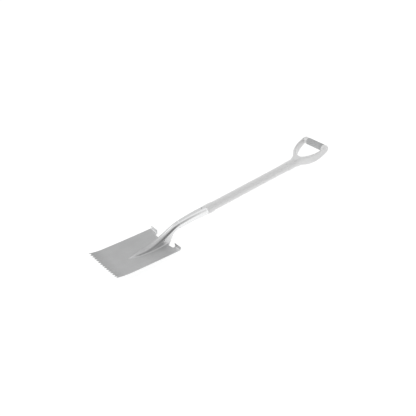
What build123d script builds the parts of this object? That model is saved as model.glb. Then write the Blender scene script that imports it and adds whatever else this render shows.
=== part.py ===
"""Long-handled square-mouth shovel with a toothed front edge and a D handle.

Units are millimetres. The shovel is drawn in the blade's own frame: X runs from the tooth tips towards the
handle, Y to the left, Z up from the rear corners of the blade. At the end every piece is turned and lowered
together, so that the shovel lies on its back on Z = 0, resting on its heel and on the handle's collar.
"""
import os
from copy import copy
from math import atan, cos, degrees, pi, radians, sin

from build123d import *

# ---- driving dimensions: blade ----
blade_length = 295.0
blade_width = 210.0
sheet = 2.0
gap_count = 14
tooth_depth = 12.0
lip_rise = 7.0
lip_length = 65.0
dish_front = 2.0
dish_middle = 16.0
dish_rear = 12.0
edge_sag = 1.5
tread_height = 9.5
tread_inner = 63.0
notch_depth = 9.0
notch_inner = 27.0
notch_corner = 6.0
ridge_start = 112.0
ridge_tip_radius = 6.0
ridge_tip_drop = 2.5

# ---- driving dimensions: socket and shaft, as stations along the shaft from the bend ----
bend_x = 361.0
bend_z = 38.6
shaft_slope = 5.2
socket_wall = 1.8
socket_length = 139.0
socket_radius_low = 16.9
socket_radius_mouth = 20.6
socket_arch = 2.5
weld_radius = 1.2
tube_start = 98.0
tube_end = 628.0
tube_radius = 16.7
tube_wall = 1.5
swage_radius = 15.2
swage_length = 8.0
swage_end = 128.0
plug_depth = 14.0
plug_flange = 2.5
plug_wall = 2.0
plug_rim = 0.6
sleeve_radius = 18.7
collar_radius = 21.0
collar_length = 37.0
collar_round = 1.2
spigot_length = 10.0
spigot_clearance = 0.7
sleeve_gap = 3.0
rivet_station = 119.0
rivet_radius = 2.5
rivet_head_radius = 5.0
rivet_head_height = 2.2
rivet_seat = 0.8

# ---- driving dimensions: handle ----
handle_station = 636.5
handle_tilt = 14.7
handle_collar_length = 52.0
handle_collar_radius = 20.7
collar_lap = 14.0
grip_distance = 139.5
grip_radius = 15.5
grip_length = 92.0
bar_radius = 12.5
frame_width = 138.0
shoulder_radius = 14.5
strap_depth_root = 38.0
strap_depth_end = 31.0
strap_inner = 64.0
strap_belly = 5.0
handle_taper = 0.7
corner_radius = 17.0
grip_round = 2.2
screw_station = 604.0
screw_radius = 2.0
screw_head_radius = 4.2
screw_head_height = 0.6
screw_bite = 3.0
screw_seat = 0.6


def smooth_step(start, end, x):
    """0 before start, 1 after end, and an even curve between."""
    share = min(max((x - start) / (end - start), 0.0), 1.0)
    return share * share * (3 - 2 * share)


# ---- blade ----
half_width = blade_width / 2
pan_stations = [0, 20, 45, 80, 130, 195, 250, blade_length]
deep = -90.0


def edge_height(x):
    """Height of the pan's side edge above the rear corners."""
    lip = lip_rise * max(0.0, 1 - x / lip_length) ** 2
    return lip - edge_sag * sin(pi * x / blade_length)


def middle_height(x):
    """Height of the pan's upper face on its centre line, without the ridge."""
    front = dish_front + (dish_middle - dish_front) * smooth_step(-10, 80, x)
    return edge_height(x) - front + (dish_middle - dish_rear) * smooth_step(200, blade_length, x)


def pan_curve(x, drop):
    """The pan's section as an arc, drop below its upper face."""
    edge = edge_height(x) - drop
    return ThreePointArc((-half_width, edge), (0, middle_height(x) - drop), (half_width, edge))


with BuildPart() as pan:
    for x in pan_stations:
        with BuildSketch(Plane.YZ.offset(x)):
            with BuildLine():
                top = pan_curve(x, 0)
                base = pan_curve(x, sheet)
                Line(top @ 0, base @ 0)
                Line(top @ 1, base @ 1)
            make_face()
    loft()

with BuildPart() as under_pan:
    for x in pan_stations:
        with BuildSketch(Plane.YZ.offset(x)):
            with BuildLine():
                top = pan_curve(x, sheet / 2)
                Polyline(top @ 0, (-half_width - 5, (top @ 0).Y), (-half_width - 5, deep), (0, deep))
                Polyline((0, deep), (half_width + 5, deep), (half_width + 5, (top @ 1).Y), top @ 1)
            make_face()
    loft()

# the ridge and neck: x, half width and crest height
neck_stations = [
    (ridge_start, ridge_tip_radius, middle_height(ridge_start) - ridge_tip_drop),
    (135, 11.5, -13.0),
    (165, 16.5, -6.5),
    (200, 19.5, -1.5),
    (235, 20.0, 6.5),
    (270, 19.0, 18.5),
    (305, 17.5, 34.5),
    (335, 17.0, 48.0),
    (bend_x, socket_radius_low, bend_z + socket_radius_low),
]


def neck_bar(inset):
    """Upside-down U bar along the ridge and neck, drawn in by inset all round."""
    with BuildPart() as bar:
        for x, half, crest in neck_stations:
            radius = half - inset
            with BuildSketch(Plane.YZ.offset(x)):
                with BuildLine():
                    crown = CenterArc((0, crest - inset - radius), radius, 0, 180)
                    Polyline(crown @ 0, (radius, deep), (-radius, deep), crown @ 1)
                make_face()
        loft()
    return bar.part


with BuildPart() as blade:
    add(neck_bar(0))
    add(under_pan.part, mode=Mode.SUBTRACT)
    # side outline of the open neck, from the blade's rear edge up to the bend
    with BuildSketch(Plane.XZ):
        with BuildLine():
            outline = Spline((286, -14), (302, -10), (313, 4), (324, 20), (344, 30), (bend_x, 36))
            Polyline(outline @ 1, (bend_x + 5, 36), (bend_x + 5, deep - 5), (286, deep - 5), outline @ 0)
        make_face()
    extrude(amount=60, both=True, mode=Mode.SUBTRACT)
    add(pan.part)
    # treads: two flanges that stand on the rear edge
    with BuildSketch(Plane.YZ.offset(blade_length)):
        with BuildLine():
            base = pan_curve(blade_length, sheet / 2)
            Polyline(base @ 0, (-half_width, tread_height), (half_width, tread_height), base @ 1)
        make_face()
        Rectangle(2 * tread_inner, 80, mode=Mode.SUBTRACT)
    extrude(amount=-sheet)
    # rounded notches between the treads and the neck
    with BuildSketch(Plane.XY.offset(deep)):
        with Locations(
            (blade_length, (tread_inner + notch_inner) / 2), (blade_length, -(tread_inner + notch_inner) / 2)
        ):
            RectangleRounded(2 * notch_depth, tread_inner - notch_inner, notch_corner)
    extrude(amount=-2 * deep, mode=Mode.SUBTRACT)
    # hollow under the ridge and neck
    add(neck_bar(sheet), mode=Mode.SUBTRACT)
    # teeth
    pitch = blade_width / gap_count
    with BuildSketch(Plane.XY.offset(deep)):
        for index in range(gap_count):
            y = -half_width + (index + 0.5) * pitch
            with BuildLine():
                Polyline((-1, y - pitch / 2), (-1, y + pitch / 2), (tooth_depth, y), close=True)
            make_face()
    extrude(amount=-2 * deep, mode=Mode.SUBTRACT)

# ---- shaft line ----
shaft_dir = Vector(cos(radians(shaft_slope)), 0, sin(radians(shaft_slope)))
shaft_up = Vector(-sin(radians(shaft_slope)), 0, cos(radians(shaft_slope)))
bend = Vector(bend_x, 0, bend_z)
shaft_axis = Axis(bend, shaft_dir)
# local x runs along the shaft from the bend, local y is up
SHAFT_SIDE = Plane(origin=bend, x_dir=shaft_dir, z_dir=(0, -1, 0))


def across(station, lift=0.0):
    """Plane across the shaft at a station."""
    return Plane(origin=bend + shaft_dir * station + shaft_up * lift, x_dir=(0, -1, 0), z_dir=shaft_dir)


def above(station):
    """Plane through the shaft's axis at a station, with its normal pointing up."""
    return Plane(origin=bend + shaft_dir * station, x_dir=shaft_dir, z_dir=shaft_up)


# ---- socket: a slightly arched cone ----
socket_stations = [20, 45, 75, 105, socket_length]


def socket_radius(station):
    """Outer radius of the socket's cone."""
    return socket_radius_low + (socket_radius_mouth - socket_radius_low) * station / socket_length


def socket_lift(station):
    """Height of the socket's arched centre line over the shaft's line."""
    return socket_arch * sin(pi * station / socket_length)


with BuildPart() as socket:
    for wall, mode in ((0, Mode.ADD), (socket_wall, Mode.SUBTRACT)):
        with BuildSketch(Plane(origin=bend, x_dir=(0, -1, 0), z_dir=(1, 0, 0))):
            Circle(socket_radius_low - wall)
        for station in socket_stations:
            with BuildSketch(across(station, socket_lift(station))):
                Circle(socket_radius(station) - wall)
        loft(mode=mode)
    with BuildSketch(above(rivet_station)):
        Circle(rivet_radius)
    extrude(amount=40, both=True, mode=Mode.SUBTRACT)

# ---- weld over the joint of neck and socket ----
with BuildPart() as neck_weld:
    with BuildSketch(Plane.XZ):
        with Locations((bend_x, bend_z + socket_radius_low)):
            Circle(weld_radius)
    revolve(axis=Axis((bend_x, 0, bend_z), (1, 0, 0)))
    add(blade.part, mode=Mode.SUBTRACT)
    add(socket.part, mode=Mode.SUBTRACT)
    with BuildSketch(Plane.XY.offset(deep)):
        with Locations((bend_x, 0)):
            Rectangle(20, 100)
    extrude(amount=bend_z - deep, mode=Mode.SUBTRACT)

# ---- steel tube of the shaft, swaged to enter the socket ----
with BuildPart() as shaft_tube:
    with BuildSketch(SHAFT_SIDE):
        with BuildLine():
            outside = Polyline(
                (tube_start, swage_radius),
                (tube_start + swage_length, swage_radius),
                (swage_end, tube_radius),
                (tube_end, tube_radius),
            )
            inside = Polyline(
                (tube_start, swage_radius - tube_wall),
                (tube_start + swage_length, swage_radius - tube_wall),
                (swage_end, tube_radius - tube_wall),
                (tube_end, tube_radius - tube_wall),
            )
            Line(outside @ 0, inside @ 0)
            Line(outside @ 1, inside @ 1)
        make_face()
    revolve(axis=shaft_axis)
    with BuildSketch(above(rivet_station)):
        Circle(rivet_radius)
    extrude(amount=40, both=True, mode=Mode.SUBTRACT)
    with BuildSketch(above(screw_station)):
        Circle(screw_radius)
    extrude(amount=-40, mode=Mode.SUBTRACT)

# ---- stopper in the tube's lower end ----
with BuildPart() as tube_plug:
    with BuildSketch(across(tube_start)):
        Circle(swage_radius - plug_rim)
    extrude(amount=-plug_flange)
    with BuildSketch(across(tube_start)):
        Circle(swage_radius - tube_wall)
    extrude(amount=plug_depth)
    with BuildSketch(across(tube_start + plug_depth)):
        Circle(swage_radius - tube_wall - plug_wall)
    extrude(amount=-(plug_depth - plug_wall), mode=Mode.SUBTRACT)

# ---- plastic sleeve over the tube ----
sleeve_start = socket_length + sleeve_gap
with BuildPart() as shaft_sleeve:
    with BuildSketch(across(sleeve_start)):
        Circle(sleeve_radius)
        Circle(tube_radius, mode=Mode.SUBTRACT)
    extrude(amount=tube_end - sleeve_start)
    with BuildSketch(above(screw_station)):
        Circle(screw_radius)
    extrude(amount=-40, mode=Mode.SUBTRACT)

# ---- collar at the socket's mouth ----
with BuildPart() as lower_collar:
    collar_end = socket_length + collar_length
    spigot_radius = socket_radius(socket_length - spigot_length) - socket_wall - spigot_clearance
    with BuildSketch(SHAFT_SIDE):
        with BuildLine():
            Polyline(
                (socket_length - spigot_length, tube_radius),
                (socket_length - spigot_length, spigot_radius),
                (socket_length, spigot_radius),
                (socket_length, collar_radius),
                (collar_end, collar_radius),
                (collar_end, sleeve_radius),
                (sleeve_start, sleeve_radius),
                (sleeve_start, tube_radius),
                close=True,
            )
        make_face()
    revolve(axis=shaft_axis)
    outer_rims = lower_collar.edges().filter_by(GeomType.CIRCLE).group_by(lambda e: e.radius)[-1]
    fillet(outer_rims, collar_round)

# ---- rivet through socket and tube ----
with BuildPart() as socket_rivet:
    with BuildSketch(above(rivet_station).offset(socket_lift(rivet_station))):
        Circle(rivet_radius)
    extrude(amount=socket_radius(rivet_station), both=True)
    for side in (-1, 1):
        seat = side * socket_radius(rivet_station) + socket_lift(rivet_station)
        with BuildSketch(above(rivet_station).offset(seat - side * rivet_seat)):
            Circle(rivet_head_radius)
        extrude(amount=side * (rivet_seat + rivet_head_height))
        rim = socket_rivet.edges().filter_by(GeomType.CIRCLE).sort_by(Axis(bend, shaft_up * side))[-1]
        fillet(rim, rivet_head_height - 0.3)
    add(socket.part, mode=Mode.SUBTRACT)

# ---- D handle ----
handle_angle = radians(shaft_slope + handle_tilt)
handle_dir = Vector(cos(handle_angle), 0, sin(handle_angle))
handle_up = Vector(-sin(handle_angle), 0, cos(handle_angle))
handle_root = bend + shaft_dir * handle_station
grip_centre = handle_root + handle_dir * grip_distance
# local x runs from the collar to the grip; local y is to the left in the face view and up in the side view
HANDLE_FACE = Plane(origin=handle_root, x_dir=handle_dir, z_dir=handle_up)
HANDLE_SIDE = Plane(origin=handle_root, x_dir=handle_dir, z_dir=(0, -1, 0))
bar_end = grip_distance + strap_depth_end / 2

with BuildPart() as handle_frame:
    # D outline, left half then mirrored
    with BuildSketch(HANDLE_FACE):
        with BuildLine():
            rim = Spline(
                (-collar_lap, 20),
                (8, 20.5),
                (20, 26.5),
                (41, 44),
                (64, 58),
                (90, 65.5),
                (118, 68.7),
                (bar_end - corner_radius, frame_width / 2),
            )
            corner = JernArc(rim @ 1, rim % 1, corner_radius, -90)
            Polyline(corner @ 1, (bar_end, 0), (-collar_lap, 0), rim @ 0)
        make_face()
        mirror(about=Plane.XZ)
    extrude(amount=40, both=True)
    # finger opening, cut through the end; the cross bar is put back below
    with BuildSketch(HANDLE_FACE):
        with BuildLine():
            crotch = Spline(
                (34, 0),
                (36.5, 14),
                (48, 30),
                (66, 46),
                (81, 54.5),
                (98, 60.5),
                (113, 63.2),
                (127, strap_inner),
            )
            Polyline(crotch @ 1, (bar_end + 5, strap_inner), (bar_end + 5, 0), crotch @ 0)
        make_face()
        mirror(about=Plane.XZ)
    extrude(amount=60, both=True, mode=Mode.SUBTRACT)
    # side outline: deep at the yoke, bellied below the straps, round about the grip's axis
    with BuildSketch(HANDLE_SIDE):
        with BuildLine():
            belly = Spline(
                (10, -handle_collar_radius),
                (35, -strap_depth_root / 2 - strap_belly + 0.7),
                (70, -strap_depth_root / 2 - strap_belly + 0.3),
                (105, -strap_depth_root / 2 - 1.0),
                (grip_distance, -strap_depth_end / 2),
            )
            Polyline(
                belly @ 1,
                (grip_distance, strap_depth_end / 2),
                (30, strap_depth_root / 2),
                (10, handle_collar_radius),
                (-collar_lap, handle_collar_radius - handle_taper),
                (-collar_lap, -handle_collar_radius + handle_taper),
                belly @ 0,
            )
        make_face()
        with Locations((grip_distance, 0)):
            Circle(strap_depth_end / 2)
    extrude(amount=90, both=True, mode=Mode.INTERSECT)
    # the yoke is round where it meets the collar and flares from there
    with BuildSketch(HANDLE_SIDE):
        with BuildLine():
            flare = Spline((-16, 15), (0, handle_collar_radius), (16, 25.5), (34, 40), (60, 80))
            Polyline(flare @ 1, (bar_end + 10, 80), (bar_end + 10, 0), (-16, 0), flare @ 0)
        make_face()
    revolve(axis=Axis(handle_root, handle_dir), mode=Mode.INTERSECT)
    # cross bar with a shoulder at each end
    with BuildSketch(Plane(origin=grip_centre, x_dir=handle_dir, z_dir=handle_up)):
        Rectangle(bar_radius, 2 * (strap_inner + 1), align=(Align.MIN, Align.CENTER))
        for side in (-1, 1):
            with Locations((0, side * (grip_length / 2 + strap_inner + 1) / 2)):
                Rectangle(shoulder_radius, strap_inner + 1 - grip_length / 2, align=(Align.MIN, Align.CENTER))
    revolve(axis=Axis(grip_centre, (0, 1, 0)))
    # collar and its bore
    with BuildSketch(across(handle_station)):
        Circle(handle_collar_radius)
    extrude(amount=-handle_collar_length)
    with Locations(handle_root):
        Sphere(handle_collar_radius)
    with BuildSketch(across(tube_end)):
        Circle(sleeve_radius)
    extrude(amount=-100, mode=Mode.SUBTRACT)
    with BuildSketch(above(screw_station)):
        Circle(screw_radius)
    extrude(amount=-40, mode=Mode.SUBTRACT)

# ---- soft grip ----
with BuildPart() as grip:
    with BuildSketch(Plane(origin=grip_centre, x_dir=handle_dir, z_dir=(0, 1, 0))):
        Circle(grip_radius)
    extrude(amount=grip_length / 2, both=True)
    ends = grip.edges().filter_by(GeomType.CIRCLE)
    fillet(ends, grip_round)
    with BuildSketch(Plane(origin=grip_centre, x_dir=handle_dir, z_dir=(0, 1, 0))):
        Circle(bar_radius)
    extrude(amount=grip_length, both=True, mode=Mode.SUBTRACT)

# ---- screw from below through the handle's collar into the tube ----
with BuildPart() as handle_screw:
    with BuildSketch(above(screw_station).offset(-handle_collar_radius + screw_seat)):
        Circle(screw_head_radius)
    extrude(amount=-screw_seat - screw_head_height)
    with BuildSketch(above(screw_station).offset(-handle_collar_radius)):
        Circle(screw_radius)
    extrude(amount=handle_collar_radius - tube_radius + tube_wall + screw_bite)
    add(handle_frame.part, mode=Mode.SUBTRACT)

# ---- laying the shovel down ----
pieces = {
    "blade": blade,
    "socket": socket,
    "neck_weld": neck_weld,
    "shaft_tube": shaft_tube,
    "tube_plug": tube_plug,
    "shaft_sleeve": shaft_sleeve,
    "lower_collar": lower_collar,
    "socket_rivet": socket_rivet,
    "handle_frame": handle_frame,
    "grip": grip,
    "handle_screw": handle_screw,
}

# the heel is the rear edge beside the neck; the foot is the underside of the handle's collar
heel = Vector(blade_length, 0, middle_height(blade_length) - sheet)
foot = handle_root - shaft_up * handle_collar_radius
rest_angle = degrees(atan((foot.Z - heel.Z) / (foot.X - heel.X)))
turned = {name: piece.part.rotate(Axis.Y, rest_angle) for name, piece in pieces.items()}
extent = Compound(children=[copy(part) for part in turned.values()]).bounding_box()
middle = (extent.min.X + extent.max.X) / 2

os.makedirs("parts", exist_ok=True)
for name, part in turned.items():
    laid = part.moved(Location((-middle, 0, -extent.min.Z)))
    laid.label = name
    export_step(laid, f"parts/{name}.step")
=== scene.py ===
"""Looks for a long-handled shovel: pressed steel blade, arched socket, white shaft and a D handle.

Laid out as an add-on: every piece has its own operator, and the sizes and colours that a user would
change are properties. Lengths in the piece code are millimetres in the blade's own frame: X from the
tooth tips towards the handle, Y to the left, Z up from the blade's rear corners. The matrix LAY turns
them into the frame's metres.
"""

from math import acos, copysign, cos, pi, radians, sin

import bmesh
import bpy
from mathutils import Euler, Matrix, Vector


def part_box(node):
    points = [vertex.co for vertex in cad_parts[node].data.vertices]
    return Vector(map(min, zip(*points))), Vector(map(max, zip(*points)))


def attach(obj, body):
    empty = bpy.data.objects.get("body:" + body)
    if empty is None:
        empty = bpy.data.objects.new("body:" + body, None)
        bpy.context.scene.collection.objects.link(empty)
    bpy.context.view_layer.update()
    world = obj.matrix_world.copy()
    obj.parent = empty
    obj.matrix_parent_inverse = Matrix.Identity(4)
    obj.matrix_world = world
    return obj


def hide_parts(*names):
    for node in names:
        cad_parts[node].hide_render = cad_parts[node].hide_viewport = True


bl_info = {
    "name": "Shovel looks",
    "version": (1, 0, 0),
    "blender": (4, 5, 0),
    "location": "3D View > Sidebar > Shovel",
    "description": "Builds the visible pieces and finishes of a long-handled shovel",
    "category": "Object",
}

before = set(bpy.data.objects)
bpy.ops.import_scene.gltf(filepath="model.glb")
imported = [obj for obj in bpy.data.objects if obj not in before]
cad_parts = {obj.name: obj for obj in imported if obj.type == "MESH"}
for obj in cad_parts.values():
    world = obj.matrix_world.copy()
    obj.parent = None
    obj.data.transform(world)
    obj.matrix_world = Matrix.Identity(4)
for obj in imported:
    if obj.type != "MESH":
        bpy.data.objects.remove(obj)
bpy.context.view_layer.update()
BODY = "root"
MM = 0.001

# ---- fixed lines of the design, in millimetres ----
REST_ANGLE = radians(7.282)
BLADE_LENGTH = 295.0
HALF_WIDTH = 105.0
BEND = Vector((361.0, 0.0, 38.6))
SHAFT_SLOPE = radians(5.2)
# directions along a tilted part and square to it
SHAFT_DIR = Vector((cos(SHAFT_SLOPE), 0.0, sin(SHAFT_SLOPE)))
SHAFT_UP = Vector((-sin(SHAFT_SLOPE), 0.0, cos(SHAFT_SLOPE)))
SOCKET_LOW = 16.9
SOCKET_MOUTH = 20.6
SOCKET_LENGTH = 139.0
SOCKET_ARCH = 2.5
COLLAR_END = 176.0
TUBE_RADIUS = 16.7
TUBE_END = 628.0
HANDLE_STATION = 636.5
HANDLE_ANGLE = SHAFT_SLOPE + radians(14.7)
HANDLE_DIR = Vector((cos(HANDLE_ANGLE), 0.0, sin(HANDLE_ANGLE)))
HANDLE_UP = Vector((-sin(HANDLE_ANGLE), 0.0, cos(HANDLE_ANGLE)))
HANDLE_ROOT = BEND + SHAFT_DIR * HANDLE_STATION
GRIP_DISTANCE = 139.5
LEFT = Vector((0.0, 1.0, 0.0))


def lay_matrix():
    """Turns the blade's frame, in millimetres, into the row frame, in metres, by the CAD blade's box."""
    low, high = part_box("blade")
    turn = Matrix.Rotation(REST_ANGLE, 4, "Y")
    crest = turn @ Vector((BEND.x, 0.0, BEND.z + SOCKET_LOW)) * MM
    return Matrix.Translation((high.x - crest.x, 0.0, high.z - crest.z)) @ turn @ Matrix.Scale(MM, 4)


LAY = lay_matrix()


# ---- properties ----
class ShovelSizes(bpy.types.PropertyGroup):
    """Sizes that a user would change."""

    sheet: bpy.props.FloatProperty(
        name="Sheet", description="Thickness of the blade's sheet, in mm", default=2.0, min=1.0, max=3.0
    )
    tooth_depth: bpy.props.FloatProperty(
        name="Tooth depth", description="Depth of the gaps between teeth, in mm", default=12.0, min=4.0
    )
    tread_height: bpy.props.FloatProperty(
        name="Tread height", description="Height of the foot treads, in mm", default=9.5, min=4.0
    )
    sleeve_radius: bpy.props.FloatProperty(
        name="Shaft radius", description="Outer radius of the shaft, in mm", default=18.7, min=12.0
    )
    grip_radius: bpy.props.FloatProperty(
        name="Grip radius", description="Radius of the soft grip, in mm", default=15.5, min=10.0
    )


class ShovelColours(bpy.types.PropertyGroup):
    """Colours of the finishes."""

    blade: bpy.props.FloatVectorProperty(
        name="Blade",
        description="Coated steel of blade and socket",
        subtype="COLOR",
        default=(0.6, 0.603, 0.606),
    )
    plastic: bpy.props.FloatVectorProperty(
        name="White plastic", description="Shaft and handle", subtype="COLOR", default=(0.83, 0.83, 0.83)
    )
    grip: bpy.props.FloatVectorProperty(
        name="Grip", description="Soft grip", subtype="COLOR", default=(0.5, 0.505, 0.51)
    )


def sizes():
    """The scene's size properties."""
    return bpy.context.scene.shovel_sizes


def colours():
    """The scene's colour properties."""
    return bpy.context.scene.shovel_colours


# ---- shader maths ----
class Socket:
    """A node's output that can be added, multiplied and so on like a number."""

    def __init__(self, tree, output):
        self.tree = tree
        self.output = output

    def math(self, operation, other):
        """A Math node on this value and another."""
        return self.tree.node("ShaderNodeMath", {"operation": operation}, {0: self, 1: other})

    def __add__(self, other):
        return self.math("ADD", other)

    __radd__ = __add__

    def __mul__(self, other):
        return self.math("MULTIPLY", other)

    def __sub__(self, other):
        return self.math("SUBTRACT", other)

    def __rsub__(self, other):
        return self.tree.node("ShaderNodeMath", {"operation": "SUBTRACT"}, {0: other, 1: self})

    def step(self, start, end):
        """0 below start, 1 above end, and an even curve between."""
        return self.tree.node(
            "ShaderNodeMapRange",
            {"interpolation_type": "SMOOTHSTEP"},
            {"Value": self, "From Min": start, "From Max": end},
        )


class Finish:
    """A material and its node tree."""

    def __init__(self, name, color, roughness, metallic=0.0, coat=0.0, coat_roughness=0.1, ior=1.5):
        self.material = bpy.data.materials.new(name)
        self.material.use_nodes = True
        self.nodes = self.material.node_tree.nodes
        self.links = self.material.node_tree.links
        self.shader = self.nodes["Principled BSDF"]
        self.shader.inputs["Base Color"].default_value = (*color, 1.0)
        self.shader.inputs["Roughness"].default_value = roughness
        self.shader.inputs["Metallic"].default_value = metallic
        self.shader.inputs["Coat Weight"].default_value = coat
        self.shader.inputs["Coat Roughness"].default_value = coat_roughness
        self.shader.inputs["IOR"].default_value = ior
        self.place = self.node("ShaderNodeTexCoord", {}, {}, "Object")

    def node(self, kind, settings, inputs, output=0):
        """Adds a node: its settings first, then the values or links of its sockets."""
        made = self.nodes.new(kind)
        for key, value in settings.items():
            setattr(made, key, value)
        for key, value in inputs.items():
            if isinstance(value, Socket):
                self.links.new(value.output, made.inputs[key])
            else:
                made.inputs[key].default_value = value
        return Socket(self, made.outputs[output])

    def noise(self, scale, detail=3.0, roughness=0.5, stretch=None):
        """Noise on the piece's own place, scale in waves per metre, drawn out along stretch."""
        place = self.place
        if stretch:
            place = self.node("ShaderNodeMapping", {}, {"Vector": self.place, "Scale": stretch})
        inputs = {"Vector": place, "Scale": scale, "Detail": detail, "Roughness": roughness}
        return self.node("ShaderNodeTexNoise", {}, inputs)

    def mix(self, factor, first, second):
        """Colour between first and second."""
        inputs = {0: factor, 6: first, 7: second}
        return self.node("ShaderNodeMix", {"data_type": "RGBA"}, inputs, 2)

    def feed(self, socket, value):
        """Links a value to one of the shader's sockets."""
        self.links.new(value.output, self.shader.inputs[socket])

    def bump(self, height, strength, distance):
        """A Bump node on the shader's normal."""
        inputs = {"Height": height, "Strength": strength, "Distance": distance}
        self.feed("Normal", self.node("ShaderNodeBump", {}, inputs))


def tint(color, gain):
    """The colour, brighter or darker, with its alpha."""
    return (*(min(1.0, part * gain) for part in color), 1.0)


def row_x(x):
    """Where a place along the blade's own X lies along the row frame's X."""
    return (LAY @ Vector((x, 0.0, 0.0))).x


def shovel_steel():
    """Silver-grey steel: a band behind the teeth darkened as painted shade and scored, satin on the blade,
    polished on neck and socket with a painted sheen that brightens their colour.
    """
    color = colours().blade
    finish = Finish("shovel_steel", color, 0.3, metallic=0.85, coat=0.2, coat_roughness=0.12)
    cloud = finish.noise(14.0, 4.0)
    grain = finish.noise(900.0, 2.0)
    drawn = finish.noise(60.0, 3.0, 0.6, stretch=(0.12, 1.0, 1.0))
    scored = finish.noise(260.0, 3.0, 0.6, stretch=(0.05, 1.0, 1.0))
    along_x = finish.node("ShaderNodeSeparateXYZ", {}, {"Vector": finish.place}, "X")
    # mask of the band behind the teeth that takes painted shade in the colour and scoring in the bump
    painted_shade_and_scoring_band = 1.0 - along_x.step(row_x(4.0), row_x(PAINTED_SHADE_BAND))
    # mask of neck and socket: real polish in the roughness, painted sheen in the colour
    polish_and_painted_sheen = along_x.step(row_x(BLADE_LENGTH - 40.0), row_x(BEND.x + 10.0))
    shade = finish.mix(cloud.step(0.3, 0.7), tint(color, 0.97), tint(color, 1.04))
    shade = finish.mix(drawn.step(0.35, 0.75) * 0.3, shade, tint(color, 0.9))
    # painted shade: the band behind the teeth darkened to 0.78 of the colour, more along the scoring
    shade = finish.mix(painted_shade_and_scoring_band * (0.4 + scored.step(0.35, 0.65) * 0.6), shade, tint(color, 0.78))
    # painted sheen: neck and socket brightened to 1.48 of the colour in place of their bright reflections
    finish.feed("Base Color", finish.mix(polish_and_painted_sheen, shade, tint(color, 1.48)))
    finish.feed("Roughness", 0.26 + cloud * 0.08 + grain * 0.06 - polish_and_painted_sheen * 0.2)
    finish.bump(grain + drawn * 0.6 + painted_shade_and_scoring_band * scored * 1.5, 0.12, 0.0002)
    return finish.material


def white_moulding():
    """White moulded plastic, semi-gloss, with a fine moulded grain."""
    color = colours().plastic
    finish = Finish("white_moulding", color, 0.32, coat=0.1, coat_roughness=0.2, ior=1.46)
    cloud = finish.noise(9.0, 3.0)
    grain = finish.noise(1400.0, 2.0)
    scuff = finish.noise(120.0, 4.0, 0.7, stretch=(0.08, 1.0, 1.0)).step(0.62, 0.72)
    shade = finish.mix(cloud.step(0.3, 0.7), tint(color, 0.985), tint(color, 1.01))
    finish.feed("Base Color", finish.mix(scuff * 0.15, shade, tint(color, 0.93)))
    finish.feed("Roughness", 0.3 + cloud * 0.05 + grain * 0.06 + scuff * 0.08)
    finish.bump(grain, 0.08, 0.0001)
    return finish.material


def soft_rubber():
    """Soft grey grip: matte, pebbled, a little lighter where hands polish it."""
    color = colours().grip
    finish = Finish("soft_rubber", color, 0.75, ior=1.45)
    cloud = finish.noise(30.0, 3.0)
    inputs = {"Vector": finish.place, "Scale": 700.0}
    pebble = finish.node("ShaderNodeTexVoronoi", {"feature": "SMOOTH_F1"}, inputs)
    polish = cloud.step(0.45, 0.7)
    shade = finish.mix(cloud.step(0.3, 0.7), tint(color, 0.94), tint(color, 1.05))
    finish.feed("Base Color", finish.mix(pebble.step(0.2, 0.6) * 0.25, shade, tint(color, 0.8)))
    finish.feed("Roughness", 0.78 - polish * 0.12)
    finish.bump(pebble, 0.35, 0.0003)
    return finish.material


def bright_steel():
    """Zinc-plated steel of rivet, screw and tube, with faint turning marks."""
    color = (0.62, 0.62, 0.63)
    finish = Finish("bright_steel", color, 0.3, metallic=1.0)
    mottled = finish.noise(350.0, 3.0)
    finish.feed("Base Color", finish.mix(mottled.step(0.35, 0.65), tint(color, 0.9), tint(color, 1.1)))
    finish.feed("Roughness", 0.24 + mottled * 0.16)
    finish.bump(mottled, 0.1, 0.0001)
    return finish.material


def black_plastic():
    """Matte black plastic of the hidden plug."""
    color = (0.03, 0.03, 0.03)
    finish = Finish("black_plastic", color, 0.6)
    grain = finish.noise(800.0, 2.0)
    finish.feed("Base Color", finish.mix(grain.step(0.3, 0.7), tint(color, 0.8), tint(color, 1.3)))
    finish.feed("Roughness", 0.5 + grain * 0.15)
    finish.bump(grain, 0.15, 0.0001)
    return finish.material


FINISHES = {
    "blade_metal": shovel_steel,
    "white_plastic": white_moulding,
    "grip_rubber": soft_rubber,
    "fastener_steel": bright_steel,
    "tube_steel": bright_steel,
    "plug_plastic": black_plastic,
}


def material(slot):
    """The slot's material, made once."""
    kind = FINISHES[slot]
    return bpy.data.materials.get(kind.__name__) or kind()


# ---- mesh helpers ----
def along(stations, place):
    """Smooth curve through rows of (place, value, ...), read at a place; returns the values."""
    last = len(stations) - 1
    index = 0
    while index < last - 1 and place > stations[index + 1][0]:
        index += 1
    start, end = stations[index], stations[index + 1]
    span = end[0] - start[0]
    share = min(max((place - start[0]) / span, 0.0), 1.0)
    before = stations[max(index - 1, 0)]
    after = stations[min(index + 2, last)]
    values = []
    for column in range(1, len(start)):
        slope_in = (end[column] - before[column]) / (end[0] - before[0]) * span
        slope_out = (after[column] - start[column]) / (after[0] - start[0]) * span
        a, b = start[column], end[column]
        square, cube = share**2, share**3
        values.append(
            a * (2 * cube - 3 * square + 1)
            + b * (3 * square - 2 * cube)
            + slope_in * (cube - 2 * square + share)
            + slope_out * (cube - square)
        )
    return values[0] if len(values) == 1 else values


def smooth_step(start, end, x):
    """0 before start, 1 after end, and an even curve between."""
    share = min(max((x - start) / (end - start), 0.0), 1.0)
    return share * share * (3 - 2 * share)


def add_ring(bm, centre, side, up, power=2.0, count=48):
    """One loop of vertices: an ellipse, or a rounded rectangle where power is over 2. Returns its edges."""
    loop = bmesh.ops.create_circle(bm, segments=count, radius=1.0)["verts"]
    for vertex in loop:
        x = copysign(abs(vertex.co.x) ** (2 / power), vertex.co.x)
        y = copysign(abs(vertex.co.y) ** (2 / power), vertex.co.y)
        vertex.co = centre + side * x + up * y
    return list({edge for vertex in loop for edge in vertex.link_edges})


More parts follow.
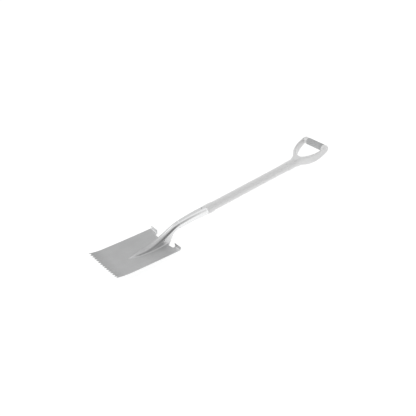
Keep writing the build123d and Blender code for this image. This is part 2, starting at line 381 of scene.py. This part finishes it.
def loft(bm, rings, closed=False):
    """Skins a list of add_ring() arguments; closed joins last loop to first, else both ends are filled."""
    loops = [add_ring(bm, *ring) for ring in rings]
    for first, second in zip(loops, loops[1:]):
        bmesh.ops.bridge_loops(bm, edges=first + second)
    if closed:
        bmesh.ops.bridge_loops(bm, edges=loops[-1] + loops[0])
    else:
        bmesh.ops.holes_fill(bm, edges=loops[0] + loops[-1], sides=0)


def turned(centre_of, profile, count=64):
    """Rings for a turned shape, from (station, radius) rows; centre_of gives centre, side and up."""
    rings = []
    for station, radius in profile:
        centre, side, up = centre_of(station)
        rings.append((centre, side * radius, up * radius, 2.0, count))
    return rings


def on_shaft(station):
    """Centre, side and up of a section square to the shaft."""
    return BEND + SHAFT_DIR * station, LEFT, SHAFT_UP


def make_piece(bm, name, slot, nodes, sharp=40.0):
    """Turns a bmesh in blade millimetres into a piece in the row frame that stands for its CAD nodes."""
    bmesh.ops.transform(bm, matrix=LAY, verts=bm.verts)
    mesh = bpy.data.meshes.new(name)
    bm.to_mesh(mesh)
    bm.free()
    mesh.shade_smooth()
    mesh.set_sharp_from_angle(angle=radians(sharp))
    piece = bpy.data.objects.new(name, mesh)
    bpy.context.scene.collection.objects.link(piece)
    mesh.materials.append(material(slot))
    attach(piece, BODY)
    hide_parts(*nodes)
    return piece


def clean(bm):
    """Merges doubles and turns every face outwards."""
    bmesh.ops.remove_doubles(bm, verts=bm.verts, dist=0.001)
    bmesh.ops.recalc_face_normals(bm, faces=bm.faces)


def add_modifier(piece, kind, name, **settings):
    """Adds a modifier with its settings."""
    modifier = piece.modifiers.new(name, kind)
    for key, value in settings.items():
        setattr(modifier, key, value)
    return modifier


# ---- blade ----
LIP_RISE = 7.0
LIP_LENGTH = 65.0
EDGE_SAG = 1.5
GAPS = 14
RIDGE_START = 112.0
# x, half width and crest height of the ridge and neck
RIDGE = [
    (RIDGE_START, 6.0, -20.0),
    (135, 11.5, -13.0),
    (165, 16.5, -6.5),
    (200, 19.5, -1.5),
    (235, 20.0, 6.5),
    (270, 19.0, 18.5),
    (305, 17.5, 34.5),
    (335, 17.0, 48.0),
    (BEND.x, SOCKET_LOW, BEND.z + SOCKET_LOW),
]
# x and height of the open neck's lower edge
NECK_EDGE = [(290, -13.6), (302, -10), (313, 4), (324, 20), (344, 30), (BEND.x, 36)]
CORE = 12
FOOT = 6
PAN = 24
FOOT_SIZE = 6.0
NOTCH_INNER = 27.0
NOTCH_OUTER = 63.0
NOTCH_DEPTH = 9.0
NOTCH_RADIUS = 6.0
TREAD_BEND = 3.0
TREAD_ROWS = 3
NECK_STEP = 3.0
# end of the band of painted shade behind the teeth, in mm from the tips
PAINTED_SHADE_BAND = 60.0
# what the sheet's thickness adds outside a tilted face
EDGE_SETBACK = 0.65
SHEET_BEVEL = 0.35
# a larger face than this at the rear edge bridges a part of the blank that is cut away
LARGEST_REAR_FACE = 60.0


def edge_height(x):
    """Height of the blade's side edge above the rear corners."""
    lip = LIP_RISE * max(0.0, 1 - x / LIP_LENGTH) ** 2
    return lip - EDGE_SAG * sin(pi * x / BLADE_LENGTH)


def pan_height(x, y):
    """Height of the dished blade's upper face, without the ridge."""
    dish = 2.0 + 14.0 * smooth_step(-10, 80, x) - 4.0 * smooth_step(200, BLADE_LENGTH, x)
    return edge_height(x) - dish * (1 - (y / HALF_WIDTH) ** 2)


class Section:
    """Half section of blade, ridge and neck at one x, measured from the crest along the surface."""

    def __init__(self, x):
        self.x = x
        self.radius, self.crest = along(RIDGE, max(x, RIDGE_START))
        self.spring = self.crest - self.radius
        self.base = self.base_height(self.radius)
        reach = (self.base - self.spring) / self.radius
        self.turn = acos(min(1.0, max(0.0, reach)))
        self.arc = self.radius * self.turn
        self.reach = self.arc + max(0.0, self.spring - self.base)
        self.foot_in = min(FOOT_SIZE, self.reach)
        self.foot_out = FOOT_SIZE * (1 - smooth_step(BLADE_LENGTH - 3, BLADE_LENGTH + 12, x))

    def base_height(self, y):
        """What the flank comes down to: the blade, or behind it the neck's lower edge."""
        if self.x <= BLADE_LENGTH:
            return pan_height(self.x, y)
        return along(NECK_EDGE, self.x)

    def sharp_point(self, s):
        """Point on the section before the foot of the flank is rounded."""
        if s <= self.arc:
            turn = s / self.radius
            return Vector((self.radius * sin(turn), self.spring + self.radius * cos(turn)))
        if s <= self.reach:
            return Vector((self.radius, self.spring - (s - self.arc)))
        y = self.radius * sin(self.turn) + s - self.reach
        return Vector((y, self.base_height(y)))

    def point(self, s):
        """Point on the section, with the foot rounded."""
        start, end = self.reach - self.foot_in, self.reach + self.foot_out
        if not start < s < end:
            return self.sharp_point(s)
        share = (s - start) / (end - start)
        corner = self.sharp_point(self.reach)
        first, last = self.sharp_point(start), self.sharp_point(end)
        return first * (1 - share) ** 2 + corner * 2 * share * (1 - share) + last * share**2

    def column(self, index):
        """Point of a column of the ridge: CORE steps over the crown, then FOOT steps round its foot."""
        least = 9.0 * (1 - smooth_step(250, BLADE_LENGTH, self.x))
        start = max(self.reach - self.foot_in, least)
        end = max(self.reach + self.foot_out, least * 2)
        if index <= CORE:
            return self.point(start * index / CORE)
        return self.point(start + (end - start) * (index - CORE) / FOOT)


def rear_outline():
    """Rows of (y, setback from the rear edge) from the ridge's foot to the corner, one per column."""
    foot = Section(BLADE_LENGTH).column(CORE + FOOT).x
    rows = [(foot, 0.0), (NOTCH_INNER, 0.0)]
    straight = NOTCH_DEPTH - NOTCH_RADIUS
    for step in range(5):
        turn = pi / 2 * step / 4
        rows.append((NOTCH_INNER + NOTCH_RADIUS * (1 - cos(turn)), straight + NOTCH_RADIUS * sin(turn)))
    first, last = NOTCH_INNER + NOTCH_RADIUS, NOTCH_OUTER - NOTCH_RADIUS
    rows += [(first + (last - first) * step / 4, NOTCH_DEPTH) for step in range(1, 4)]
    for step in range(5):
        turn = pi / 2 * step / 4
        rows.append((last + NOTCH_RADIUS * sin(turn), straight + NOTCH_RADIUS * cos(turn)))
    treads = PAN - len(rows) + 1
    width = HALF_WIDTH - NOTCH_OUTER
    rows += [(NOTCH_OUTER + width * step / treads, TREAD_BEND) for step in range(1, treads + 1)]
    return rows


def blade_rows():
    """The x of the blank's rows: from the teeth back, up to the rear edge, and over the neck."""
    body = [15.0 + 5.0 * step for step in range(52)]
    final = [body[-1] + (BLADE_LENGTH - body[-1]) * step / 4 for step in range(1, 5)]
    reach = BEND.x - BLADE_LENGTH
    count = round(reach / NECK_STEP)
    neck = [BLADE_LENGTH + reach * step / count for step in range(1, count + 1)]
    return [0.0, *body], final, neck


class BladePress:
    """Presses the flat blank: gives each point of its grid the place it has in the blade."""

    def __init__(self):
        self.rows, self.final, self.neck = blade_rows()
        self.outline = rear_outline()
        self.half = CORE + FOOT + PAN
        self.count = len(self.rows) + len(self.final) + len(self.neck)
        self.sections = {}

    def section(self, x):
        """The section at x, worked out once."""
        if x not in self.sections:
            self.sections[x] = Section(x)
        return self.sections[x]

    def inside(self, y):
        """Draws the outer edge in, so that the sheet's thickness stays within the blade's width."""
        return y - EDGE_SETBACK * smooth_step(HALF_WIDTH - 12, HALF_WIDTH, y)

    def ridge_part(self, x, column):
        """Point of a ridge column; ahead of the ridge the columns spread evenly towards the teeth."""
        y, z = self.section(max(x, RIDGE_START)).column(column)
        if x >= RIDGE_START:
            return y, z
        even = HALF_WIDTH * column / self.half
        y += (even - y) * (1 - smooth_step(25, RIDGE_START, x))
        return y, pan_height(x, y)

    def pan_part(self, x, column):
        """Point of a column beside the ridge, out to the blade's edge."""
        inner = self.ridge_part(x, CORE + FOOT)[0]
        share = (column - CORE - FOOT) / PAN
        y = inner + (HALF_WIDTH - inner) * share
        y += (self.outline[column - CORE - FOOT][0] - y) * smooth_step(225, self.rows[-1], x)
        return y, pan_height(x, y)

    def blade_place(self, x, column, side, toothed):
        """Point of a row across the blade; the toothed row's points stand back in the gaps."""
        y, z = self.ridge_part(x, column) if column <= CORE + FOOT else self.pan_part(x, column)
        if toothed:
            pitch = 2 * HALF_WIDTH / GAPS
            gap = abs((y + HALF_WIDTH) % pitch - pitch / 2) / (pitch / 2)
            x = EDGE_SETBACK + (sizes().tooth_depth - EDGE_SETBACK) * (1 - gap)
            z = pan_height(x, y)
        return Vector((x, side * self.inside(y), z))

    def rear_place(self, x, column, side):
        """Point of the last rows, which close up to the notched rear edge."""
        if column <= CORE + FOOT:
            y, z = self.section(x).column(column)
            return Vector((x, side * y, z))
        y, setback = self.outline[column - CORE - FOOT]
        start = self.rows[-1]
        x = start + (BLADE_LENGTH - setback - start) * (x - start) / (BLADE_LENGTH - start)
        return Vector((x, side * self.inside(y), pan_height(x, y)))

    def behind_place(self, row, column, side):
        """Point behind the rear edge: the neck, a foot tread bent up, or None where nothing is left."""
        if column <= CORE + FOOT:
            x = self.neck[row]
            y, z = self.section(x).column(column)
            return Vector((x, side * y, z))
        y = self.outline[column - CORE - FOOT][0]
        if y < NOTCH_OUTER - 0.01 or row > TREAD_ROWS:
            return None
        if row == TREAD_ROWS:
            return Vector((BLADE_LENGTH, side * self.inside(y), sizes().tread_height))
        turn = pi / 2 * (row + 1) / TREAD_ROWS
        rise = TREAD_BEND * (1 - cos(turn))
        x = BLADE_LENGTH - TREAD_BEND * (1 - sin(turn))
        return Vector((x, side * self.inside(y), pan_height(BLADE_LENGTH, y) + rise))

    def place(self, row, column):
        """Place of a point of the grid, columns counted from the middle; None where it is cut away."""
        side = copysign(1.0, column)
        column = abs(column)
        if row < len(self.rows):
            return self.blade_place(self.rows[row], column, side, row == 0)
        row -= len(self.rows)
        if row < len(self.final):
            return self.rear_place(self.final[row], column, side)
        return self.behind_place(row - len(self.final), column, side)


class SHOVEL_OT_blade(bpy.types.Operator):
    """Press the blade with its ridge, neck, teeth and foot treads out of one sheet"""

    bl_idname = "shovel.blade"
    bl_label = "Blade"

    def execute(self, context):
        press = BladePress()
        bm = bmesh.new()
        columns = 2 * press.half
        bmesh.ops.create_grid(bm, x_segments=press.count - 1, y_segments=columns, size=1.0)
        cut_away = []
        for vertex in bm.verts:
            row = round((vertex.co.x + 1) / 2 * (press.count - 1))
            column = round((vertex.co.y + 1) / 2 * columns) - press.half
            place = press.place(row, column)
            if place is None:
                cut_away.append(vertex)
            else:
                vertex.co = place
        bmesh.ops.delete(bm, geom=cut_away, context="VERTS")
        rear = [face for face in bm.faces if face.calc_center_median().x > BLADE_LENGTH - 0.5]
        bridges = [face for face in rear if face.calc_area() > LARGEST_REAR_FACE]
        bmesh.ops.delete(bm, geom=bridges, context="FACES")
        piece = make_piece(bm, "blade_pressed", "blade_metal", ["blade"], sharp=35.0)
        thickness = sizes().sheet * MM
        add_modifier(piece, "SOLIDIFY", "sheet", thickness=thickness, offset=-1.0, use_even_offset=False)
        limit = {"limit_method": "ANGLE", "angle_limit": radians(50)}
        add_modifier(piece, "BEVEL", "edges", width=SHEET_BEVEL * MM, segments=2, **limit)
        return {"FINISHED"}


# ---- socket ----
SOCKET_WALL = 1.8
SOCKET_STATIONS = [0, 8, 18, 30, 45, 60, 75, 90, 105, 120, 132]
MOUTH_BEVEL = 0.6
WELD_RADIUS = 1.1
WELD_STEPS = 60
RIVET_STATION = 119.0
# height above the rivet's seat and radius
RIVET_DOME = [(2.9, 0.6), (2.75, 1.7), (2.3, 3.0), (1.5, 4.2), (0.7, 4.9), (0.0, 5.0), (0.0, 2.5)]


def socket_radius(station):
    """Outer radius of the socket's cone."""
    return SOCKET_LOW + (SOCKET_MOUTH - SOCKET_LOW) * station / SOCKET_LENGTH


def on_socket(station):
    """Centre, side and up of the arched socket's section; its first section is upright."""
    lean = smooth_step(0, 25, station)
    up = (SHAFT_UP * lean + Vector((0, 0, 1)) * (1 - lean)).normalized()
    lift = SOCKET_ARCH * sin(pi * station / SOCKET_LENGTH)
    return BEND + SHAFT_DIR * station + SHAFT_UP * lift, LEFT, up


class SHOVEL_OT_socket(bpy.types.Operator):
    """Draw the arched socket that takes the shaft"""

    bl_idname = "shovel.socket"
    bl_label = "Socket"

    def execute(self, context):
        outside = [*SOCKET_STATIONS, SOCKET_LENGTH - MOUTH_BEVEL]
        inside = [SOCKET_LENGTH, *reversed(SOCKET_STATIONS)]
        profile = [(station, socket_radius(station)) for station in outside]
        profile += [(SOCKET_LENGTH, socket_radius(SOCKET_LENGTH) - 0.5)]
        profile += [(station, socket_radius(station) - SOCKET_WALL) for station in inside]
        bm = bmesh.new()
        loft(bm, turned(on_socket, profile), closed=True)
        clean(bm)
        make_piece(bm, "socket_arched", "blade_metal", ["socket"])
        return {"FINISHED"}


class SHOVEL_OT_weld(bpy.types.Operator):
    """Lay the weld bead over the joint of neck and socket"""

    bl_idname = "shovel.weld"
    bl_label = "Weld bead"

    def execute(self, context):
        bm = bmesh.new()
        bead = []
        for step in range(WELD_STEPS + 1):
            turn = pi * (step / WELD_STEPS)
            out = Vector((0.0, cos(turn), sin(turn)))
            ripple = 1.0 + 0.12 * cos(step * pi / 2)
            ends = min(1.0, 0.35 + 6 * min(step, WELD_STEPS - step) / WELD_STEPS)
            radius = WELD_RADIUS * ripple * ends
            centre = BEND + out * SOCKET_LOW
            bead.append((centre, Vector((radius, 0, 0)), out * radius, 2.0, 12))
        loft(bm, bead)
        clean(bm)
        make_piece(bm, "weld_bead", "blade_metal", ["neck_weld"], sharp=60.0)
        return {"FINISHED"}


class SHOVEL_OT_rivet(bpy.types.Operator):
    """Turn the domed rivet through socket and tube"""

    bl_idname = "shovel.rivet"
    bl_label = "Rivet"

    def execute(self, context):
        centre = on_socket(RIVET_STATION)[0]
        seat = socket_radius(RIVET_STATION) - 0.7
        profile = [(seat + rise, radius) for rise, radius in RIVET_DOME]
        profile += [(-place, radius) for place, radius in reversed(profile)]

        def on_rivet(place):
            return centre + SHAFT_UP * place, LEFT, SHAFT_DIR

        bm = bmesh.new()
        loft(bm, turned(on_rivet, profile, count=32))
        clean(bm)
        make_piece(bm, "rivet_domed", "fastener_steel", ["socket_rivet"])
        return {"FINISHED"}


# ---- shaft ----
SLEEVE_START = SOCKET_LENGTH + 3
SLEEVE_PLAIN_END = 520
# station and what the sleeve swells by on its way into the handle
SLEEVE_SWELL = [(530.0, 0.0), (550.0, 0.5), (570.0, 0.8), (590.0, 0.9)]
SWELL_END = 592.0
# station and radius of the lower collar, from inside the socket out over the sleeve
COLLAR_LOWER = [
    (129.0, TUBE_RADIUS),
    (129.0, 17.8),
    (138.6, 17.8),
    (139.0, 18.2),
    (139.0, 20.0),
    (139.4, 20.7),
    (140.2, 21.0),
    (143.0, 21.0),
    (160.0, 21.0),
    (171.0, 20.9),
    (174.0, 20.4),
    (175.5, 19.7),
    (COLLAR_END, 19.0),
]


class SHOVEL_OT_shaft(bpy.types.Operator):
    """Make the white sleeve over the steel tube"""

    bl_idname = "shovel.shaft"
    bl_label = "Shaft sleeve"

    def execute(self, context):
        radius = sizes().sleeve_radius
        stations = [SLEEVE_START + step * (SLEEVE_PLAIN_END - SLEEVE_START) / 12 for step in range(13)]
        profile = [(station, radius) for station in stations]
        profile += [(station, radius + more) for station, more in SLEEVE_SWELL]
        profile += [(SWELL_END, radius), (TUBE_END, radius)]
        profile += [(TUBE_END, TUBE_RADIUS), (SLEEVE_START, TUBE_RADIUS)]
        bm = bmesh.new()
        loft(bm, turned(on_shaft, profile), closed=True)
        clean(bm)
        make_piece(bm, "sleeve_white", "white_plastic", ["shaft_sleeve"])
        return {"FINISHED"}


class SHOVEL_OT_collar(bpy.types.Operator):
    """Turn the collar that covers the joint of socket and shaft"""

    bl_idname = "shovel.collar"
    bl_label = "Lower collar"

    def execute(self, context):
        radius = sizes().sleeve_radius
        inside = [(COLLAR_END, radius), (SLEEVE_START, radius), (SLEEVE_START, TUBE_RADIUS)]
        profile = COLLAR_LOWER + inside
        bm = bmesh.new()
        loft(bm, turned(on_shaft, profile), closed=True)
        clean(bm)
        make_piece(bm, "collar_lower", "white_plastic", ["lower_collar"])
        return {"FINISHED"}


# ---- D handle ----
# one strap from yoke to end: inner (u, v), outer (u, v), top, bottom and squareness
STRAP = [
    ((0, 0), (0, 19.5), 20.0, -20.3, 2.2),
    ((12, 0), (11, 21.5), 20.0, -20.8, 2.4),
    ((24, 1), (19, 26.5), 19.4, -22.4, 2.8),
    ((34, 5), (26, 32), 19.0, -23.3, 3.2),
    ((36.5, 14), (30, 36), 19.0, -23.6, 3.4),
    ((42, 23.5), (34, 39), 19.0, -23.8, 3.6),
    ((48, 30), (40, 43.5), 18.9, -23.9, 3.8),
    ((57, 38.8), (49, 50), 18.6, -23.9, 3.8),
    ((66, 46), (60, 56), 18.2, -23.7, 3.8),
    ((81, 54.5), (77, 62.2), 17.6, -22.8, 3.6),
    ((98, 60.5), (96, 66.8), 17.0, -20.8, 3.4),
    ((113, 63.2), (112, 68.3), 16.4, -18.8, 3.2),
    ((127, 64), (127, 69), 15.9, -16.8, 3.0),
    ((139.5, 64), (139.5, 69), 15.5, -15.5, 3.0),
    ((145, 62), (145.5, 67.6), 14.6, -14.6, 2.8),
    ((149.5, 58), (151, 63.5), 11.8, -11.8, 2.6),
    ((152.5, 52), (154.5, 56), 6.0, -6.0, 2.4),
]
# the solid yoke: place along the handle, half width, top, bottom and squareness
YOKE = [
    (-8, 17.0, 17.5, -17.5, 2.0),
    (-2, 20.0, 20.2, -20.2, 2.0),
    (6, 20.8, 20.5, -20.5, 2.1),
    (13, 22.0, 20.0, -21.0, 2.3),
    (20, 26.0, 19.5, -22.2, 2.6),
    (26, 30.0, 19.2, -23.0, 3.0),
    (31, 31.0, 19.0, -23.2, 3.4),
    (34, 28.0, 17.5, -21.0, 3.2),
    (35, 20.0, 13.0, -16.0, 3.0),
]
# half of the cross bar from its end to its middle: distance from the middle and radius
BAR_HALF = [(66, 14.0), (50, 14.4), (46, 14.4), (45, 12.6)]
# the collar that the shaft goes into: station on the shaft and radius
COLLAR_UPPER = [
    (584.5, 19.0),
    (585.0, 20.2),
    (587.0, 20.8),
    (600.0, 20.9),
    (632.0, 20.7),
    (636.0, 20.5),
    (642.0, 17.0),
]
SKIN_VOXEL = 1.1
SKIN_ROUNDS = 6
GRIP_HALF = 46.0
GRIP_BORE = 12.7
# the grip's rounded end: distance in from the end and below the grip's radius
GRIP_END = [(0.0, 2.0), (0.4, 1.0), (1.2, 0.3), (2.6, 0.0)]


def in_handle(u, v, w=0.0):
    """Point of the handle: u from its root to the grip, v to the left, w up from its plane."""
    return HANDLE_ROOT + HANDLE_DIR * u + LEFT * v + HANDLE_UP * w


def strap_rings(side):
    """Rings of one strap, from yoke to end."""
    rings = []
    for inner, outer, top, bottom, power in STRAP:
        a, b = in_handle(inner[0], side * inner[1]), in_handle(outer[0], side * outer[1])
        middle = (a + b) / 2 + HANDLE_UP * (top + bottom) / 2
        rings.append((middle, (b - a) / 2, HANDLE_UP * (top - bottom) / 2, power, 32))
    return rings


def yoke_rings():
    """Rings of the solid yoke between the straps."""
    return [
        (in_handle(u, 0, (top + bottom) / 2), LEFT * half, HANDLE_UP * (top - bottom) / 2, power, 40)
        for u, half, top, bottom, power in YOKE
    ]


def bar_rings(radius_at):
    """Rings of a round bar along the grip's axis, from rows of (v, radius)."""
    centre = in_handle(GRIP_DISTANCE, 0)
    return [(centre + LEFT * v, HANDLE_DIR * r, HANDLE_UP * r, 2.0, 48) for v, r in radius_at]


def remeshed(bm, voxel, rounds):
    """One smooth closed skin round every shape in the bmesh, in a new bmesh; the one given is used up."""
    mesh = bpy.data.meshes.new("moulding")
    bm.to_mesh(mesh)
    bm.free()
    blank = bpy.data.objects.new("moulding", mesh)
    bpy.context.scene.collection.objects.link(blank)
    add_modifier(blank, "REMESH", "skin", mode="VOXEL", voxel_size=voxel, adaptivity=0.0)
    add_modifier(blank, "SMOOTH", "flow", factor=0.5, iterations=rounds)
    graph = bpy.context.evaluated_depsgraph_get()
    moulded = bpy.data.meshes.new_from_object(blank.evaluated_get(graph))
    bpy.data.objects.remove(blank)
    result = bmesh.new()
    result.from_mesh(moulded)
    return result


class SHOVEL_OT_handle(bpy.types.Operator):
    """Mould the D handle: collar, yoke, two straps and the cross bar in one piece"""

    bl_idname = "shovel.handle"
    bl_label = "D handle"

    def execute(self, context):
        bm = bmesh.new()
        for side in (-1, 1):
            loft(bm, strap_rings(side))
        loft(bm, yoke_rings())
        loft(bm, bar_rings([(-v, radius) for v, radius in BAR_HALF] + BAR_HALF[::-1]))
        loft(bm, turned(on_shaft, COLLAR_UPPER))
        bmesh.ops.recalc_face_normals(bm, faces=bm.faces)
        bm = remeshed(bm, SKIN_VOXEL, SKIN_ROUNDS)
        make_piece(bm, "handle_moulded", "white_plastic", ["handle_frame"], sharp=80.0)
        return {"FINISHED"}


class SHOVEL_OT_grip(bpy.types.Operator):
    """Mould the soft grip round the cross bar"""

    bl_idname = "shovel.grip"
    bl_label = "Grip"

    def execute(self, context):
        radius = sizes().grip_radius
        rows = [(GRIP_HALF, GRIP_BORE)] + [(GRIP_HALF - back, radius - below) for back, below in GRIP_END]
        profile = rows + [(GRIP_HALF * step / 8, radius) for step in range(6, -7, -1)]
        profile += [(-v, ring) for v, ring in reversed(rows)]
        bm = bmesh.new()
        loft(bm, bar_rings(profile), closed=True)
        clean(bm)
        make_piece(bm, "grip_soft", "grip_rubber", ["grip"])
        return {"FINISHED"}


class SHOVEL_OT_hidden(bpy.types.Operator):
    """Give the carried-over tube, plug and screw their finishes"""

    bl_idname = "shovel.hidden"
    bl_label = "Tube, plug and screw"

    def execute(self, context):
        for name, slot in (
            ("shaft_tube", "tube_steel"),
            ("tube_plug", "plug_plastic"),
            ("handle_screw", "fastener_steel"),
        ):
            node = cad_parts[name]
            node.data.materials.clear()
            node.data.materials.append(material(slot))
        return {"FINISHED"}


# ---- stage ----
CAMERA_PLACE = (-1.36862, -2.09221, 1.77158)
CAMERA_TURN = (54.5454, 8.3294, -37.9099)
CAMERA_LENS = 63.175
FLOOR_HALF = 8.0
FLOOR_GLOW = 0.86
SOFTBOX_PLACE = (-1.2, 1.8, 1.9)
SOFTBOX_SIZE = 2.4
SOFTBOX_WATTS = 12.0


def floor_finish():
    """Plain pale light table: paper lit mostly from below, so that it takes hardly any shadow."""
    finish = Finish("pale_floor", (0.25, 0.25, 0.25), 0.9)
    finish.shader.inputs["Emission Color"].default_value = (1.0, 1.0, 1.0, 1.0)
    finish.shader.inputs["Emission Strength"].default_value = FLOOR_GLOW
    paper = finish.noise(3.0)
    finish.feed("Base Color", finish.mix(paper, (0.24, 0.24, 0.24, 1.0), (0.26, 0.26, 0.26, 1.0)))
    return finish.material


# darker parts of the studio's walls: direction, cosines where one begins and is full, and the light left
DARK_PATCHES = (
    ((-0.25, -0.8, 0.52), 0.62, 0.96, 0.12),
    ((0.45, 0.7, 0.55), 0.3, 0.95, 0.68),
)


def studio_world():
    """Bright walls all round with a few darker patches, which give round shapes their form."""
    world = bpy.data.worlds.new("studio")
    world.use_nodes = True
    nodes, links = world.node_tree.nodes, world.node_tree.links
    direction = nodes.new("ShaderNodeTexCoord").outputs["Generated"]
    strength = nodes.new("ShaderNodeValue")
    strength.outputs[0].default_value = 1.0
    light = strength.outputs[0]
    for centre, begin, full, left in DARK_PATCHES:
        toward = nodes.new("ShaderNodeVectorMath")
        toward.operation = "DOT_PRODUCT"
        toward.inputs[1].default_value = Vector(centre).normalized()
        links.new(direction, toward.inputs[0])
        fade = nodes.new("ShaderNodeMapRange")
        fade.interpolation_type = "SMOOTHSTEP"
        for name, value in (("From Min", begin), ("From Max", full), ("To Min", 1.0), ("To Max", left)):
            fade.inputs[name].default_value = value
        links.new(toward.outputs["Value"], fade.inputs["Value"])
        dimmed = nodes.new("ShaderNodeMath")
        dimmed.operation = "MULTIPLY"
        links.new(light, dimmed.inputs[0])
        links.new(fade.outputs["Result"], dimmed.inputs[1])
        light = dimmed.outputs[0]
    links.new(light, nodes["Background"].inputs["Strength"])
    nodes["Background"].inputs["Color"].default_value = (1.0, 1.0, 1.0, 1.0)
    return world


def add_area_light(name, place, aim, size, energy):
    """A soft square light that faces a point."""
    data = bpy.data.lights.new(name, "AREA")
    data.shape = "SQUARE"
    data.size = size
    data.energy = energy
    light = bpy.data.objects.new(name, data)
    light.location = place
    light.rotation_euler = (Vector(aim) - Vector(place)).to_track_quat("-Z", "Y").to_euler()
    bpy.context.scene.collection.objects.link(light)


class SHOVEL_OT_stage(bpy.types.Operator):
    """Set the camera, the soft lights and the pale floor"""

    bl_idname = "shovel.stage"
    bl_label = "Stage"

    def execute(self, context):
        scene = context.scene
        data = bpy.data.cameras.new("camera")
        data.lens = CAMERA_LENS
        data.sensor_width = 36.0
        data.clip_end = 50.0
        camera = bpy.data.objects.new("camera", data)
        camera.location = CAMERA_PLACE
        camera.rotation_euler = Euler([radians(angle) for angle in CAMERA_TURN])
        scene.collection.objects.link(camera)
        scene.camera = camera
        bm = bmesh.new()
        bmesh.ops.create_grid(bm, x_segments=1, y_segments=1, size=FLOOR_HALF)
        mesh = bpy.data.meshes.new("floor")
        bm.to_mesh(mesh)
        bm.free()
        mesh.materials.append(floor_finish())
        floor = bpy.data.objects.new("floor", mesh)
        scene.collection.objects.link(floor)
        scene.world = studio_world()
        add_area_light("softbox", SOFTBOX_PLACE, (0.0, 0.0, 0.0), SOFTBOX_SIZE, SOFTBOX_WATTS)
        scene.view_settings.view_transform = "Standard"
        return {"FINISHED"}


# ---- panel and registration ----
class SHOVEL_PT_panel(bpy.types.Panel):
    """Sidebar panel with every piece's operator"""

    bl_idname = "SHOVEL_PT_panel"
    bl_label = "Shovel"
    bl_space_type = "VIEW_3D"
    bl_region_type = "UI"
    bl_category = "Shovel"

    def draw(self, context):
        for group in (context.scene.shovel_sizes, context.scene.shovel_colours):
            for name in group.__annotations__:
                self.layout.prop(group, name)
        for operator in OPERATORS:
            self.layout.operator(operator.bl_idname)


OPERATORS = (
    SHOVEL_OT_stage,
    SHOVEL_OT_blade,
    SHOVEL_OT_socket,
    SHOVEL_OT_weld,
    SHOVEL_OT_rivet,
    SHOVEL_OT_shaft,
    SHOVEL_OT_collar,
    SHOVEL_OT_handle,
    SHOVEL_OT_grip,
    SHOVEL_OT_hidden,
)
CLASSES = (ShovelSizes, ShovelColours, *OPERATORS, SHOVEL_PT_panel)


def register():
    """Registers the classes and hangs the properties on the scene."""
    for item in CLASSES:
        bpy.utils.register_class(item)
    bpy.types.Scene.shovel_sizes = bpy.props.PointerProperty(type=ShovelSizes)
    bpy.types.Scene.shovel_colours = bpy.props.PointerProperty(type=ShovelColours)


def unregister():
    """Takes the properties and classes away again."""
    del bpy.types.Scene.shovel_colours
    del bpy.types.Scene.shovel_sizes
    for item in reversed(CLASSES):
        bpy.utils.unregister_class(item)


def main():
    """Builds everything."""
    register()
    for operator in OPERATORS:
        group, name = operator.bl_idname.split(".")
        getattr(getattr(bpy.ops, group), name)()


if __name__ == "__main__":
    main()
